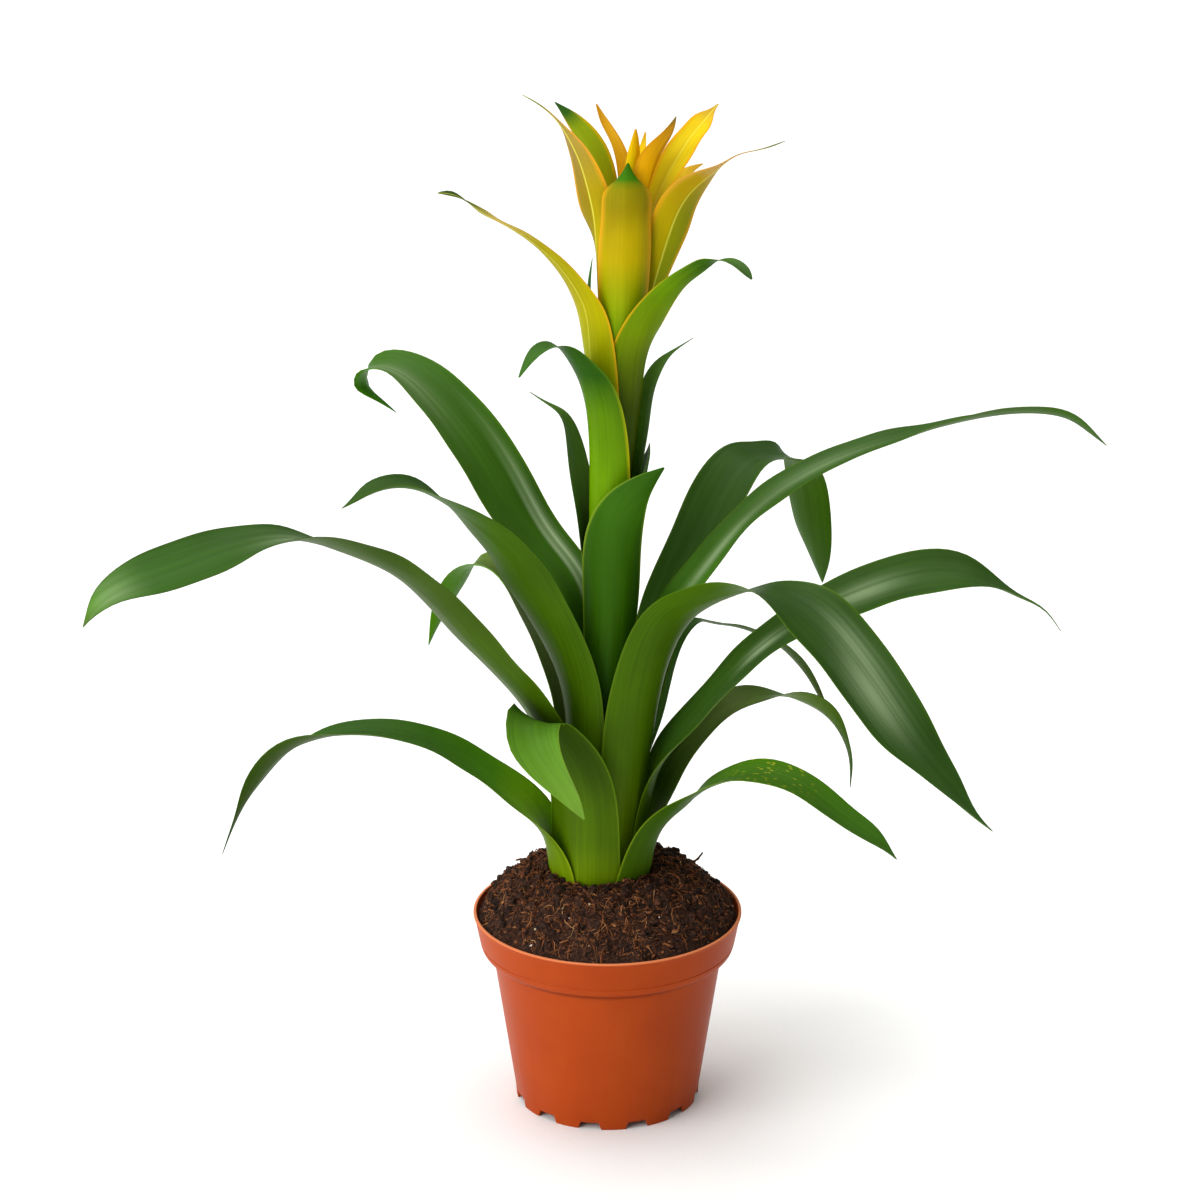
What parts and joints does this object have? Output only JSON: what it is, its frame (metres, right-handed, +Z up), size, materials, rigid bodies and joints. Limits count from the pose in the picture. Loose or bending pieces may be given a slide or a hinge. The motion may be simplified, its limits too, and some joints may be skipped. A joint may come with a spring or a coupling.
{
  "type": "potted bromeliad",
  "caption": "Potted bromeliad with arching strap leaves, a leafy central spike and a yellow star-shaped bract head, in a round terracotta-coloured plastic nursery pot with potting mix.",
  "frame": {"origin": "centre of the pot's base, on the plane that the pot stands on", "axes": "+Z up along the pot's axis; -Y towards the side with the broad front bracts, which faces the viewer; +X to that viewer's right, where the longest leaf points and the stem leans"},
  "size_m": [0.4779, 0.3267, 0.5029],
  "materials": {
    "moulded_polypropylene": "satin",
    "peat_and_coir_mix": "matte",
    "leaf_green": "satin",
    "bract_green": "satin",
    "bract_yellow": "satin",
    "scape_green": "satin"
  },
  "bodies": {
    "root": {"pot": "moulded_polypropylene", "soil": "peat_and_coir_mix", "stem": "scape_green", "leaf_low_left": "leaf_green", "leaf_low_right": "leaf_green", "leaf_flopped_front": "leaf_green", "leaf_hook_right": "leaf_green", "leaf_back_low": "leaf_green", "leaf_mid_right": "leaf_green", "leaf_long_left": "leaf_green", "leaf_back_mid": "leaf_green", "leaf_broad_right": "leaf_green", "leaf_bent_left": "leaf_green", "leaf_thin_right": "leaf_green", "leaf_mid_left": "leaf_green", "leaf_folded_right": "leaf_green", "leaf_tall_left": "leaf_green", "leaf_long_right": "leaf_green", "leaf_back_high": "leaf_green", "bract_front": "bract_green", "bract_dark_left": "bract_green", "bract_right_edge": "bract_green", "bract_bright_left": "bract_green", "bract_back_low": "bract_green", "bract_thin_right": "bract_green", "bract_back_high": "bract_green", "bract_long_tipped": "bract_green", "bract_arched_right": "bract_green", "bract_small_left": "bract_green", "flower_front": "bract_yellow", "flower_right_outer": "bract_yellow", "flower_left_outer": "bract_yellow", "flower_back_right": "bract_yellow", "flower_back_left": "bract_yellow", "flower_right": "bract_yellow", "flower_green_left": "bract_yellow", "flower_orange": "bract_yellow", "flower_back_point": "bract_yellow", "flower_heart_front": "bract_yellow", "flower_heart_back": "bract_yellow"}
  },
  "joints": []
}
